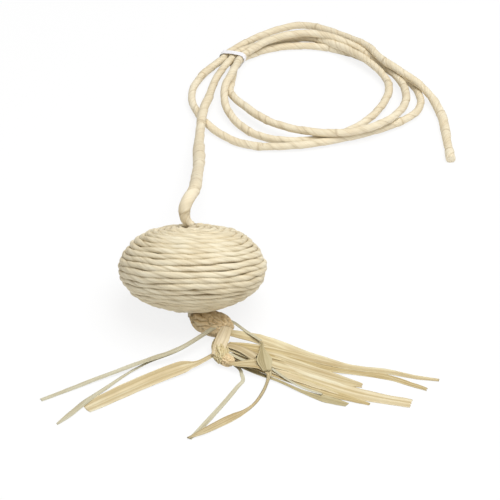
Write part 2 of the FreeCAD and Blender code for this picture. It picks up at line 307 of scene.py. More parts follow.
def node(tree, kind, **values):
    """New shader node with these inputs; a name that starts with _ is a setting of the node."""
    made = tree.nodes.new(kind)
    for name, value in values.items():
        if name.startswith("_"):
            setattr(made, name[1:], value)
        else:
            made.inputs[name.replace("_", " ")].default_value = value
    return made


def link(tree, source, out, target, into):
    tree.links.new(source.outputs[out], target.inputs[into])


def ramp(tree, stops):
    """Colour ramp with these stops, each a place from 0 to 1 and a colour."""
    made = tree.nodes.new("ShaderNodeValToRGB")
    while len(made.color_ramp.elements) < len(stops):
        made.color_ramp.elements.new(0.5)
    for element, (at, colour) in zip(made.color_ramp.elements, stops):
        element.position = at
        element.color = (*colour, 1.0)
    return made


def fibres(tree, vector, along, across, detail=3.0):
    """Noise drawn out into fibres along the vector's first direction, so many a millimetre."""
    mapping = node(tree, "ShaderNodeMapping", Scale=(along, across, across))
    tree.links.new(vector, mapping.inputs["Vector"])
    grain = node(tree, "ShaderNodeTexNoise", Scale=1.0, Detail=detail, Roughness=0.55)
    link(tree, mapping, "Vector", grain, "Vector")
    return grain


def blend_colour(tree, kind, amount, first, second):
    """Second colour laid over the first by this amount; each is a value or a socket."""
    mix = tree.nodes.new("ShaderNodeMix")
    mix.data_type = "RGBA"
    mix.blend_type = kind
    mix.clamp_result = True
    for source, socket in ((amount, 0), (first, 6), (second, 7)):
        if isinstance(source, (int, float, tuple)):
            mix.inputs[socket].default_value = source
        else:
            tree.links.new(source, mix.inputs[socket])
    return mix.outputs[2]


def husk(name, pale, mid, deep, crease, rough=0.62, grain=1.0, bump=0.12, from_uv=True,
         patch=0.5):
    """Dry husk: fibres along the strip, pale and golden streaks, and shade painted into its
    creases.

    Grain is how close the fibres stand, bump their relief in millimetres, and patch how
    strongly the tone changes from place to place.
    """
    material = bpy.data.materials.new(name)
    material.use_nodes = True
    tree = material.node_tree
    shader = tree.nodes["Principled BSDF"]
    coords = tree.nodes.new("ShaderNodeTexCoord")
    if from_uv:
        lay = node(tree, "ShaderNodeUVMap", _uv_map="UVMap").outputs[0]
    else:
        stretch = node(tree, "ShaderNodeMapping", Scale=(1000.0, 1000.0, 1000.0))
        link(tree, coords, "Object", stretch, "Vector")
        lay = stretch.outputs["Vector"]
    fine = fibres(tree, lay, along=0.06, across=3.2 * grain, detail=5.0)
    broad = fibres(tree, lay, along=0.03, across=0.55 * grain)
    patches = node(tree, "ShaderNodeTexNoise", Scale=70.0, Detail=2.0, Roughness=0.5)
    link(tree, coords, "Object", patches, "Vector")
    tone = ramp(tree, [(0.30, deep), (0.46, mid), (0.64, pale)])
    link(tree, broad, "Fac", tone, "Fac")
    thread = ramp(tree, [
        (0.28, (0.66, 0.60, 0.50)), (0.5, (0.93, 0.92, 0.90)), (0.72, (1, 1, 1)),
    ])
    link(tree, fine, "Fac", thread, "Fac")
    colour = blend_colour(tree, "MULTIPLY", 0.55, tone.outputs["Color"], thread.outputs["Color"])
    shade = ramp(tree, [(0.33, (0.86, 0.80, 0.70)), (0.66, (1, 1, 1))])
    link(tree, patches, "Fac", shade, "Fac")
    colour = blend_colour(tree, "MULTIPLY", patch, colour, shade.outputs["Color"])
    # Painted shade: the crease attribute mixes in the crease colour in creases, grooves, folds and
    # at steps; on leaves it also carries their own darker streaks.
    low = node(tree, "ShaderNodeAttribute", _attribute_name="crease")
    colour = blend_colour(tree, "MIX", low.outputs["Fac"], colour, (*crease, 1.0))
    tree.links.new(colour, shader.inputs["Base Color"])
    spread = node(tree, "ShaderNodeMapRange", From_Min=0.3, From_Max=0.7, To_Min=rough - 0.1,
                  To_Max=rough + 0.12)
    link(tree, fine, "Fac", spread, "Value")
    link(tree, spread, "Result", shader, "Roughness")
    shader.inputs["Specular IOR Level"].default_value = 0.32
    relief = node(tree, "ShaderNodeBump", Strength=0.8, Distance=bump * MM)
    link(tree, fine, "Fac", relief, "Height")
    wide = node(tree, "ShaderNodeBump", Strength=0.7, Distance=2.5 * bump * MM)
    link(tree, broad, "Fac", wide, "Height")
    link(tree, relief, "Normal", wide, "Normal")
    link(tree, wide, "Normal", shader, "Normal")
    return material


cord_husk = husk("cord_husk", (0.90, 0.82, 0.64), (0.86, 0.77, 0.58), (0.78, 0.67, 0.48),
                 (0.56, 0.45, 0.28), bump=0.12)
rope_husk = husk("rope_husk", (0.87, 0.80, 0.62), (0.82, 0.74, 0.55), (0.73, 0.64, 0.45),
                 (0.30, 0.21, 0.09), bump=0.14)
leaf_husk = husk("leaf_husk", (0.80, 0.74, 0.54), (0.77, 0.66, 0.43), (0.68, 0.57, 0.36),
                 (0.50, 0.39, 0.20), rough=0.55, grain=0.8, bump=0.10)
grey_leaf_husk = husk("grey_leaf_husk", (0.68, 0.66, 0.52), (0.60, 0.57, 0.42),
                      (0.50, 0.46, 0.33), (0.38, 0.32, 0.20), rough=0.55, grain=0.8)
brown_leaf_husk = husk("brown_leaf_husk", (0.70, 0.61, 0.41), (0.58, 0.48, 0.29),
                       (0.44, 0.34, 0.19), (0.28, 0.19, 0.09), rough=0.55, grain=0.8)
olive_leaf_husk = husk("olive_leaf_husk", (0.60, 0.53, 0.33), (0.52, 0.45, 0.26),
                       (0.43, 0.36, 0.19), (0.28, 0.22, 0.10), rough=0.6, grain=0.8)
bundle_husk = husk("bundle_husk", (0.78, 0.71, 0.48), (0.68, 0.58, 0.36), (0.58, 0.46, 0.26),
                   (0.40, 0.29, 0.13), rough=0.55, grain=0.8, patch=0.7)
golden_leaf_husk = husk("golden_leaf_husk", (0.74, 0.65, 0.41), (0.64, 0.53, 0.29),
                        (0.52, 0.40, 0.19), (0.36, 0.25, 0.10), rough=0.55, grain=0.8, patch=0.7)
pale_tab_husk = husk("pale_tab_husk", (0.84, 0.75, 0.58), (0.80, 0.70, 0.50),
                     (0.76, 0.65, 0.44), (0.56, 0.44, 0.26), rough=0.55, grain=0.7)
gather_husk = husk("gather_husk", (0.74, 0.66, 0.42), (0.68, 0.58, 0.34), (0.58, 0.47, 0.25),
                   (0.34, 0.24, 0.10), rough=0.55, grain=0.9, bump=0.15)
knot_husk = husk("knot_husk", (0.92, 0.78, 0.52), (0.87, 0.69, 0.43), (0.72, 0.54, 0.30),
                 (0.38, 0.26, 0.11), rough=0.58, grain=1.1, bump=0.2)
core_husk = husk("core_husk", (0.42, 0.31, 0.16), (0.33, 0.23, 0.11), (0.22, 0.14, 0.06),
                 (0.12, 0.07, 0.03), rough=0.8, from_uv=False, bump=0.25)


# ---- cord -------------------------------------------------------------------------------

CORD_GAP = 0.0012
CORD_SIDES = 26
REST_HEIGHT = 0.0001  # metres, the cord is pressed flat where it lies on the floor
SECTION_SPARE = 1.04  # makes up for the creases that take away from a strand's thickness
WRAP_STEP = 0.12  # height of the wrapper's edge, as a share of the cord's half thickness
WRAP_EDGE = 0.10  # share of the girth over which shade is painted into the recess below the edge
WRAP_RIBS = 5
WRAP_PITCH = 17.0  # millimetres for the wrapper to run once round, and how much that varies
WRAP_PITCH_SPREAD = 6.0
SPLICE_SLANT = 1.5  # how far the end of a length of cover leans, in rings of the cord
# how dark the shade painted at the step of each splice is
SPLICE_SHADE = 0.85
SWELL_LEFT = 0.955  # what is left of the swelling at a splice, one ring further on


def wrapped_section(half):
    """Cross-section of a husk-wrapped cord: the outer edge of the wrapper makes a step, with shade
    painted into the recess below it.
    """
    radii = []
    painted_shades = []
    for k in range(CORD_SIDES):
        share = k / CORD_SIDES
        edge = max(0.0, 1.0 - share / WRAP_EDGE)
        rib = 0.012 * math.sin(TAU * share * WRAP_RIBS)
        radii.append(half * (1.0 - WRAP_STEP * (1.0 - share) + rib))
        # painted shade, darkest in the recess right below the wrapper's edge
        painted_shades.append(0.55 * edge)
    return radii, painted_shades


# How stout the cord's cover is, as a share of its even thickness, up to each distance along
# it in millimetres: stoutest near the ball.
STOUT = [(2.4, 0.80), (30, 1.20), (120, 1.20), (158, 1.30), (225, 1.08), (1655, 0.92),
         (1698, 1.10), (1717, 0.94), (9999, 1.10)]

# Where one length of the cover ends over the next: distances along the cord, millimetres.
SPLICES = [9, 24, 72, 118, 640, 1095, 1697, 1716]


def paint_splice_shade(thing, rings):
    """Paints a slanting line of shade round the cord at each of these rings, where the cover steps
    out.
    """
    layer = thing.data.attributes["crease"]
    last = len(thing.data.vertices) // CORD_SIDES - 1
    for ring in rings:
        for k in range(CORD_SIDES):
            slant = round(SPLICE_SLANT * math.sin(TAU * k / CORD_SIDES + ring))
            at = min(max(ring + slant, 0), last) * CORD_SIDES + k
            layer.data[at].value = max(layer.data[at].value, SPLICE_SHADE)


def wrapped_cord(name, spots, seed, stouter=False):
    """Husk-wrapped cord along these spots, lumpy, with its wrapper running round it.

    Where it is the seen cord it is stouter, and spliced, at the places set above, with shade
    painted at each step.
    """
    draw = random.Random(seed)
    radii, painted_shades = wrapped_section(CORD_THICK / 2 * SECTION_SPARE)
    section = profile(name + "_section", radii)
    thickness = []
    turning = []
    angle = draw.uniform(0, TAU)
    stout = STOUT[0][1] if stouter else 1.0
    swell = 0.0
    next_end = draw.uniform(30, 70)
    fixed = [length for length in SPLICES if stouter]
    ends = []
    for k in range(len(spots)):
        at = k * CORD_GAP / MM
        if at > next_end:
            swell = draw.uniform(0.06, 0.14)
            next_end = at + draw.uniform(45, 110)
            ends.append(k)
        if fixed and at > fixed[0]:
            fixed.pop(0)
            swell = 0.10
            ends.append(k)
        swell *= SWELL_LEFT
        lump = 0.045 * ripple((at, 0, 0), 16.0, seed) + 0.03 * ripple((at, 5, 0), 5.0, seed)
        goal = next(share for end, share in STOUT if at < end) if stouter else 1.0
        stout += (goal - stout) * 0.3
        thickness.append((1.0 + lump + swell) * stout)
        pitch = WRAP_PITCH + WRAP_PITCH_SPREAD * ripple((at, 9, 0), 40.0, seed)
        angle += TAU * CORD_GAP / MM / pitch
        turning.append(angle)
    thing = swept(name, spots, section, thickness, turning)
    bpy.data.objects.remove(section)
    lay_uv(thing, CORD_SIDES, CORD_GAP, math.pi * CORD_THICK)
    paint_crease_shade(thing, CORD_SIDES, painted_shades)
    paint_splice_shade(thing, ends)
    smooth(thing)
    thing.data.materials.append(cord_husk)
    return thing


RIM_WIDE = 0.0005
PITH_SUNK = 0.0004


def close_ends(thing, sides):
    """Closes a strand's two open ends, each with its pith sunk a little inside the rim."""
    mesh = bmesh.new()
    mesh.from_mesh(thing.data)
    count = len(mesh.verts)
    for ring in (range(sides), range(count - sides, count)):
        mesh.verts.ensure_lookup_table()
        verts = [mesh.verts[k] for k in ring]
        edges = {e for v in verts for e in v.link_edges if e.is_boundary}
        filled = bmesh.ops.holes_fill(mesh, edges=list(edges), sides=sides)["faces"]
        bmesh.ops.inset_region(mesh, faces=filled, thickness=RIM_WIDE, depth=-PITH_SUNK)
    mesh.to_mesh(thing.data)
    mesh.free()


def no_lower_than(thing, height):
    for vert in thing.data.vertices:
        vert.co.z = max(vert.co.z, height)


route = [Vector(point) * MM for point in cord_route()]
spots, _ = evenly(smooth_line(route), CORD_GAP)
cord = wrapped_cord("husk_cord", spots, 3, stouter=True)
close_ends(cord, CORD_SIDES)
no_lower_than(cord, REST_HEIGHT)
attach(cord, "tassel_and_cord")
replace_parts(cord, "cord_lead", "cord_coil", "cord_tail")

INTO_KNOT = 0.0035
OUT_OF_BALL = 0.0006
inner_ends = [BOTTOM_POLE - BALL_AXIS * INTO_KNOT, TOP_POLE + BALL_AXIS * OUT_OF_BALL]
inner_spots, _ = evenly(inner_ends, CORD_GAP)
inner_cord = wrapped_cord("cord_through_ball", inner_spots, 8)
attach(inner_cord, "tassel_and_cord")
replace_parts(inner_cord, "cord_in_ball")


# ---- rope wound round the ball -------------------------------------------------------------

ROPE_HALF = 0.00186
ROPE_GAP = 0.0015
ROPE_SIDES = 16
ROPE_TURNS = 26
ROPE_STEPS = 9000
LAY_LENGTH = 30.0  # millimetres for the strand to twist once round
MOUTH = 5.3  # millimetres from either pole to where the winding starts
FADE = 8.0  # millimetres over which the straying of the turns fades out at either mouth
SLOW_STRAY = 0.55  # millimetres that the turns stray, in long waves and in short ones
QUICK_STRAY = 0.22
GAP_EDGE = 1.2  # millimetres down the surface over which a gap opens, and over which it ends
GAP_REACH = 7.0
ROUGH_LIFT = 0.00085  # metres that single turns stand out or sink in
SHOULDER = 27.0  # millimetres from the top pole to where the winding stands fullest
SHOULDER_LIFT = 0.0013
MOUTH_SINK = 0.0006
HUMP_WIDE = 10.0  # millimetres, for the shoulder and for the sunken mouth

# Places where two turns stand apart: distance from the top pole along the surface and bearing
# round the axis, how far they stand apart and how wide the gap is.
GAPS = [
    (46.1, -134, 0.77, 12), (50.1, -135, 0.56, 8), (56.1, -138, 0.56, 8), (42.6, -60, 0.70, 18),
    (46.0, -63, 0.70, 13), (51.5, -43, 0.63, 9), (55.0, -32, 0.56, 8), (59.1, -86, 0.70, 4),
    (61.4, -77, 0.42, 7), (39.0, -118, 0.50, 11), (47.0, 60, 0.63, 16), (38.0, 120, 0.70, 14),
    (60.0, 10, 0.49, 12), (30.0, 30, 0.56, 14), (66.0, -150, 0.49, 12), (52.0, 160, 0.63, 15),
]


def side_view(steps=1200):
    """Points of the ball's side view from pole to pole, and how far each is from the first."""
    outer = []
    for k in range(steps + 1):
        phi = math.pi / 2 - math.pi * k / steps
        place = Vector((BALL_WIDE / 2 * math.cos(phi), BALL_TALL / 2 * math.sin(phi)))
        facing = Vector((math.cos(phi) / BALL_WIDE, math.sin(phi) / BALL_TALL)).normalized()
        outer.append((place, facing))
    run = [0.0]
    for before, after in zip(outer, outer[1:]):
        run.append(run[-1] + (after[0] - before[0]).length)
    return outer, run


SIDE, SIDE_RUN = side_view()


def side_at(distance):
    """Place and outward direction in the side view, that far from the top pole."""
    goal = min(max(distance / SIDE_RUN[-1], 0.0), 1.0) * SIDE_RUN[-1]
    k = min(bisect.bisect_right(SIDE_RUN, goal), len(SIDE_RUN) - 1)
    part = (goal - SIDE_RUN[k - 1]) / (SIDE_RUN[k] - SIDE_RUN[k - 1])
    return SIDE[k - 1][0].lerp(SIDE[k][0], part), SIDE[k - 1][1].lerp(SIDE[k][1], part)


def stray(distance, bearing):
    """How far a turn strays from its even place, millimetres down the surface."""
    around = Vector((math.cos(bearing), math.sin(bearing), 0))
    shift = SLOW_STRAY * ripple(around * 2.2 + Vector((0, 0, distance / 9.0)), 1.0, 4.0)
    shift += QUICK_STRAY * ripple(around * 5.0 + Vector((0, 0, distance / 5.0)), 1.0, 9.0)
    for down, facing, apart, wide in GAPS:
        turn = (math.degrees(bearing) - facing + 180) % 360 - 180
        reach = math.exp(-(turn / wide) ** 2)
        shift += apart * reach * math.tanh((distance - down) / GAP_EDGE) * math.exp(
            -((distance - down) / GAP_REACH) ** 2)
    return shift


def rope_line():
    """Middle of the rope: a spiral from the top mouth to the bottom mouth."""
    start = MOUTH
    end = SIDE_RUN[-1] / MM - MOUTH
    line = []
    for k in range(ROPE_STEPS + 1):
        share = k / ROPE_STEPS
        bearing = -TAU * ROPE_TURNS * share
        even = start + (end - start) * share
        fade = min(1.0, (even - start) / FADE, (end - even) / FADE)
        distance = even + stray(even, bearing) * max(fade, 0.15)
        place, facing = side_at(distance * MM)
        around = (math.cos(bearing) * 3, math.sin(bearing) * 3, even / 4)
        lift = ROUGH_LIFT * ripple(around, 1.0, 2.0)
        lift += SHOULDER_LIFT * math.exp(-((even - SHOULDER) / HUMP_WIDE) ** 2)
        lift -= MOUTH_SINK * math.exp(-((even / HUMP_WIDE) ** 2))
        place = place - facing * (ROPE_HALF - lift)
        line.append(on_ball(place.x * math.cos(bearing), place.x * math.sin(bearing), place.y))
    return line


# Creases of the twisted strand: where round it, how deep and how wide, as shares. The deepest
# comes first.
ROPE_CREASES = [(0.0, 0.17, 0.20), (0.42, 0.11, 0.16), (0.70, 0.07, 0.12)]
# how dark the shade painted into the deepest crease is
CREASE_SHADE = 0.38


def rope_section(half):
    """Cross-section of the twisted husk strand: folds with creases between them, and shade painted
    into the creases.
    """
    deepest = ROPE_CREASES[0][1]
    radii = []
    painted_shades = []
    for k in range(ROPE_SIDES):
        share = k / ROPE_SIDES
        radius = 1.0
        depth = 0.0
        for where, deep, wide in ROPE_CREASES:
            away = min(abs(share - where), 1 - abs(share - where)) * TAU
            fold = math.exp(-(away / (wide * 1.6)) ** 2)
            radius -= deep * fold
            depth = max(depth, fold * deep / deepest)
        radii.append(half * radius)
        painted_shades.append(CREASE_SHADE * depth)
    return radii, painted_shades


GROOVE_FROM = 0.55  # millimetres below the even surface where the painted shade on the rope starts
GROOVE_DEEP = 0.85  # and how much further down the painted shade is brownest
GROOVE_MOST = 0.9


def shade_grooves(thing):
    """Paints shade on the rope where it dips down between two turns: it turns browner there."""
    layer = thing.data.attributes["crease"]
    for k, vert in enumerate(thing.data.vertices):
        away = vert.co - BALL_CENTRE
        x, y, z = away.dot(BALL_RIGHT), away.dot(BALL_BACK), away.dot(BALL_AXIS)
        inside = math.sqrt((x * x + y * y) / (BALL_WIDE / 2) ** 2 + (z / BALL_TALL * 2) ** 2)
        sunk = (1.0 - inside) * away.length / MM
        # painted shade, browner the deeper the point lies below the even surface
        brown = min(max((sunk - GROOVE_FROM) / GROOVE_DEEP, 0.0), GROOVE_MOST)
        layer.data[k].value = max(layer.data[k].value, brown)


def wound_rope():
    """One twisted strand wound round the ball, uneven in its thickness and its twist."""
    spots, _ = evenly(rope_line(), ROPE_GAP)
    radii, painted_shades = rope_section(ROPE_HALF * SECTION_SPARE)
    section = profile("rope_section", radii)
    thickness = []
    turning = []
    angle = 0.0
    for k in range(len(spots)):
        at = k * ROPE_GAP / MM
        lump = 0.16 * ripple((at, 0, 0), 26.0, 1)
        thickness.append(1.0 + lump + 0.07 * ripple((at, 3, 0), 6.0, 1))
        pitch = LAY_LENGTH * (1.0 + 0.35 * ripple((at, 7, 0), 90.0, 1))
        angle += TAU * ROPE_GAP / MM / pitch
        turning.append(angle)
    thing = swept("ball_rope", spots, section, thickness, turning)
    bpy.data.objects.remove(section)
    lay_uv(thing, ROPE_SIDES, ROPE_GAP, TAU * ROPE_HALF)
    paint_crease_shade(thing, ROPE_SIDES, painted_shades)
    shade_grooves(thing)
    no_lower_than(thing, 0.0)
    close_ends(thing, ROPE_SIDES)
    smooth(thing)
    thing.data.materials.append(rope_husk)
    return thing


rope = wound_rope()
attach(rope, "ball")
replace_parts(rope, "ball_winding")

core = frame["nodes"]["ball_core"]
core.data.materials.clear()
core.data.materials.append(core_husk)


# ---- leaf strips ---------------------------------------------------------------------------

LEAF_THICK = 0.00035
LEAF_STEP = 1.1  # millimetres between the points along a strip, and across it
RIB_GAP = 0.32
STREAK_GAP = 1.3
LEAF_LOWEST = 0.2  # millimetres, the middle of a strip that lies on the floor
RUFFLE = 0.25  # millimetres that a strip lifts off in places

# Each strip: points from butt to tip in millimetres, x and y from the middle of the knot,
# height of the underside and width; then how much its edges curl up, how far it turns over
# along its length in degrees, and its material.
LEAVES = {
    "leaf_left_long": ([
        (2.0, -7.5, 8.6, 2.5), (-16.5, -22.6, 6.0, 3.0), (-32.4, -28.8, 3.5, 3.4),
        (-53.4, -37.9, 1.0, 3.3), (-68.8, -46.4, 0.2, 3.0),
        (-88.1, -57.9, 0.0, 2.2)], 0.25, 10, grey_leaf_husk),
    "leaf_left_fine": ([
        (0.5, -8.0, 7.0, 1.2), (-16.5, -22.5, 5.0, 1.2), (-31.5, -28.7, 2.4, 1.3),
        (-38.5, -32.7, 1.2, 1.4), (-45.4, -38.1, 0.4, 1.6), (-55.4, -49.4, 0.5, 2.2),
        (-65.1, -60.4, 0.5, 3.2), (-72.2, -69.6, 0.2, 3.2),
        (-78.3, -76.8, 0.0, 1.2)], 0.2, 0, grey_leaf_husk),
    "leaf_left_broad": ([
        (3.0, -22.9, 3.2, 3.2), (-4.1, -27.9, 2.2, 3.2), (-8.5, -30.5, 1.9, 4.6),
        (-12.9, -31.9, 1.6, 8.6), (-18.9, -34.7, 1.2, 9.8), (-32.0, -41.9, 0.4, 10.2),
        (-44.9, -50.3, 0.0, 9.8), (-57.0, -59.3, 0.0, 8.8),
        (-64.3, -64.9, 0.0, 7.4)], 0.08, 0, leaf_husk),
    "leaf_front_folded": ([
        (5.5, -25.1, 2.4, 1.6), (14.7, -33.1, 1.4, 1.8), (16.7, -38.0, 0.6, 2.0),
        (17.3, -42.3, 0.0, 2.2), (14.7, -46.9, 0.0, 2.2), (9.5, -56.7, 0.0, 2.6),
        (-2.1, -76.6, 0.0, 2.6), (-9.5, -88.1, 0.0, 1.8)], 0.2, 0, grey_leaf_husk),
    "leaf_front_lens": ([
        (6.5, -29.0, 3.2, 2.4), (12.6, -32.9, 4.0, 3.2), (21.0, -33.9, 5.0, 6.6),
        (27.5, -35.1, 5.4, 9.0), (30.9, -39.9, 3.8, 3.2), (30.4, -44.5, 2.2, 1.6),
        (27.9, -52.0, 0.8, 1.5), (23.7, -60.1, 0.0, 1.6), (18.5, -66.4, 0.0, 2.6),
        (12.5, -71.0, 0.0, 4.8), (6.0, -75.9, 0.0, 5.2), (-3.0, -83.4, 0.7, 3.6),
        (-10.6, -88.0, 0.6, 1.0)], 0.06, 0, bundle_husk),
    "leaf_right_thin": ([
        (4.0, -1.6, 7.0, 1.8), (10.7, -0.6, 7.2, 1.8), (18.5, -8.5, 7.0, 1.8),
        (27.0, -17.5, 7.4, 1.4)], 0.2, 0, grey_leaf_husk),
    "leaf_right_first": ([
        (4.5, -8.6, 7.0, 3.6), (21.1, -12.7, 5.9, 6.4), (29.7, -15.8, 5.2, 7.6),
        (46.9, -23.8, 3.5, 7.8), (68.1, -31.1, 2.0, 4.6), (80.5, -33.5, 1.0, 3.8),
        (93.7, -35.1, 0.5, 3.6), (109.3, -39.3, 0.0, 3.0),
        (121.3, -41.7, 0.0, 2.0)], 0.08, 24, bundle_husk),
    "leaf_right_second": ([
        (9.5, -17.6, 5.0, 3.6), (27.5, -22.7, 4.8, 8.4), (47.8, -28.3, 2.8, 9.0),
        (63.8, -33.1, 1.4, 6.0), (77.0, -35.5, 0.6, 4.6), (87.6, -37.5, 0.2, 4.4),
        (98.0, -40.9, 0.0, 3.6), (106.1, -45.1, 0.0, 3.2),
        (114.3, -49.3, 0.0, 2.4)], 0.08, 24, golden_leaf_husk),
    "leaf_right_third": ([
        (9.5, -20.1, 4.2, 3.6), (31.8, -28.7, 3.6, 10.0), (60.9, -40.5, 1.75, 8.4),
        (80.3, -46.3, 0.0, 3.4)], 0.08, 24, bundle_husk),
    "leaf_right_broad": ([
        (9.0, -23.7, 2.7, 4.0), (37.0, -35.5, 2.2, 9.6), (60.7, -46.7, 1.3, 9.2),
        (81.4, -54.4, 0.0, 7.6), (105.1, -60.8, 0.0, 6.4)], 0.08, 24, leaf_husk),
    "leaf_right_fifth": ([
        (8.5, -24.9, 1.9, 3.6), (39.6, -39.9, 1.4, 7.0), (63.1, -52.3, 0.45, 6.4),
        (83.4, -61.2, 0.0, 1.8)], 0.08, 24, golden_leaf_husk),
    "leaf_right_sixth": ([
        (8.0, -25.1, 1.1, 3.0), (23.5, -36.1, 1.0, 2.6), (35.5, -42.9, 0.8, 1.8),
        (47.4, -50.7, 0.4, 2.2), (57.7, -56.0, 0.0, 4.4), (65.0, -59.1, 0.0, 4.6),
        (71.7, -61.6, 0.0, 2.8)], 0.1, 0, olive_leaf_husk),
    "leaf_right_fine": ([
        (9.0, -24.3, 4.6, 1.8), (22.1, -32.6, 3.6, 1.8), (32.2, -35.9, 3.2, 1.4),
        (40.0, -42.7, 2.0, 1.3), (48.5, -48.9, 1.2, 1.3),
        (58.8, -54.1, 1.0, 1.2)], 0.15, 0, grey_leaf_husk),
    "leaf_knot_tab": ([
        (8.5, -7.0, 9.0, 5.8), (5.9, -17.0, 7.5, 7.4),
        (2.9, -27.0, 5.4, 5.2)], -0.12, 0, pale_tab_husk),
    "leaf_stub": ([
        (8.0, -18.5, 5.9, 3.2), (16.5, -22.5, 6.2, 5.0),
        (24.5, -29.0, 5.8, 6.0)], -0.3, 0, brown_leaf_husk),
}


def through(stations, share):
    """Smooth curve through the stations, at a share of its length from 0 to 1."""
    at = share * (len(stations) - 1)
    k = min(int(at), len(stations) - 2)
    t = at - k
    a, b, c, d = (stations[min(max(k + step, 0), len(stations) - 1)] for step in (-1, 0, 1, 2))
    return [
        0.5 * (2 * q + (r - p) * t + (2 * p - 5 * q + 4 * r - s) * t ** 2
               + (3 * q - p - 3 * r + s) * t ** 3)
        for p, q, r, s in zip(a, b, c, d)
    ]


# An olive strip folded over the bundle: its narrow edge above, its flat below.
FOLDED_EDGE = [(27.5, -18.9, 7.2, 1.3), (27.6, -23.7, 7.5, 1.9), (28.1, -28.5, 7.4, 5.0),
               (28.7, -33.7, 7.0, 8.4), (30.1, -39.9, 5.0, 4.0)]

# Painted shade of a fold, shown as one long dark line: share of the half width, breadth and
# strength.
FOLD_SHADE_LINES = {"leaf_left_broad": (0.40, 0.11, 0.9), "leaf_right_second": (0.55, 0.10, 0.8),
              "leaf_right_broad": (-0.75, 0.08, 0.7), "leaf_front_lens": (-0.8, 0.15, 0.9)}


def leaf_strip(name, stations, curl, turn, material, seed):
    """One dry strip: ribbed, curled across, a little wavy, with a torn tip.

    The strip is laid out on a grid that is two wide and two long, and then bent along its
    stations.
    """
    length = sum((Vector(b[:3]) - Vector(a[:3])).length for a, b in zip(stations, stations[1:]))
    widest = max(s[3] for s in stations)
    steps = max(16, round(length / LEAF_STEP))
    ribs = max(10, round(widest / RIB_GAP))
    mesh = bmesh.new()
    bmesh.ops.create_grid(mesh, x_segments=steps, y_segments=ribs, size=1.0)
    layer = mesh.loops.layers.uv.new("UVMap")
    deep = mesh.verts.layers.float.new("crease")
    draw = random.Random(seed)
    streaks = [
        (draw.uniform(-0.9, 0.9), draw.uniform(0.04, 0.12), draw.uniform(0.25, 0.75))
        for _ in range(max(2, round(widest / STREAK_GAP)))
    ]
    # the fold's painted shade joins the strip's own streaks
    if name in FOLD_SHADE_LINES:
        streaks.append(FOLD_SHADE_LINES[name])
    for face in mesh.faces:
        face.smooth = True
        for loop in face.loops:
            share = (loop.vert.co.x + 1) / 2
            loop[layer].uv = (share * length + 37 * seed, loop.vert.co.y * widest / 2)
    spots = [through(stations, k / steps) for k in range(steps + 1)]
    for vert in mesh.verts:
        k = round((vert.co.x + 1) / 2 * steps)
        side = vert.co.y
        x, y, low, width = spots[k]
        x, y = x + KNOT.x, y + KNOT.y
        before, after = spots[max(k - 1, 0)], spots[min(k + 1, steps)]
        ahead = Vector((after[0] - before[0], after[1] - before[1], 0)).normalized()
        across = Vector((-ahead.y, ahead.x, 0))
        at = k / steps * length
        stray_by = 0.15 * ripple((at, seed, 2), 20.0, seed)
        vert[deep] = min(0.9, sum(
            strength * math.exp(-((side + stray_by - where) / wide) ** 2)
            for where, wide, strength in streaks
        ))
        tear = 0.7 * ripple((side * 3, seed, 0), 1.0, seed) if k == steps else 0.0
        lean = math.radians(turn) * math.sin(at / length * math.pi)
        lean += 0.22 * ripple((at, seed, 0), 22.0, seed)
        half = width / 2 * (1 + 0.10 * ripple((at, seed, 4), 7.0, seed))
        rib = 0.05 * math.cos(side * ribs * math.pi / 2)
        rib += 0.06 * ripple((side * 4, at / 12, seed), 1.0, seed)
        place = Vector((x, y, low + LEAF_LOWEST)) + across * (half * side * math.cos(lean))
        place += ahead * tear
        place.z += curl * half * side * side + rib + half * side * math.sin(lean) * 0.4
        place.z += RUFFLE * max(0.0, ripple((at, seed, 8), 14.0, seed))
        place.z = max(place.z, LEAF_LOWEST)
        vert.co = place * MM
    strip = finished(name.replace("leaf_", "strip_"), mesh, material)
    body = strip.modifiers.new("thickness", "SOLIDIFY")
    body.thickness = LEAF_THICK
    body.offset = 0.0
    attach(strip, "tassel_and_cord")
    return strip


for number, (name, (stations, curl, turn, material)) in enumerate(LEAVES.items(), start=1):
    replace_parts(leaf_strip(name, stations, curl, turn, material, number), name)
leaf_strip("leaf_folded_edge", FOLDED_EDGE, 0.1, 0, olive_leaf_husk, 40)


# ---- knot and gathered butts -----------------------------------------------------------------

def clear_of_ball(place, gap=0.0004):
    """The place, moved out of the room that the ball needs."""
    away = place - BALL_CENTRE
    x, y, z = away.dot(BALL_RIGHT), away.dot(BALL_BACK), away.dot(BALL_AXIS)
    wide, tall = BALL_WIDE / 2 + gap, BALL_TALL / 2 + gap
    inside = math.sqrt((x * x + y * y) / wide ** 2 + (z / tall) ** 2)
    if inside >= 1.0:
        return place
    return on_ball(x / inside, y / inside, z / inside)


VALLEY_WIDE = 0.07
NICK_WIDE = 0.05

# Three places in the noise, one for each direction in which the folds wander.
BEND_SHIFTS = [Vector((0.3, 0.7, 0.1)), Vector((0.8, 0.1, 0.4)), Vector((0.6, 0.9, 0.2))]


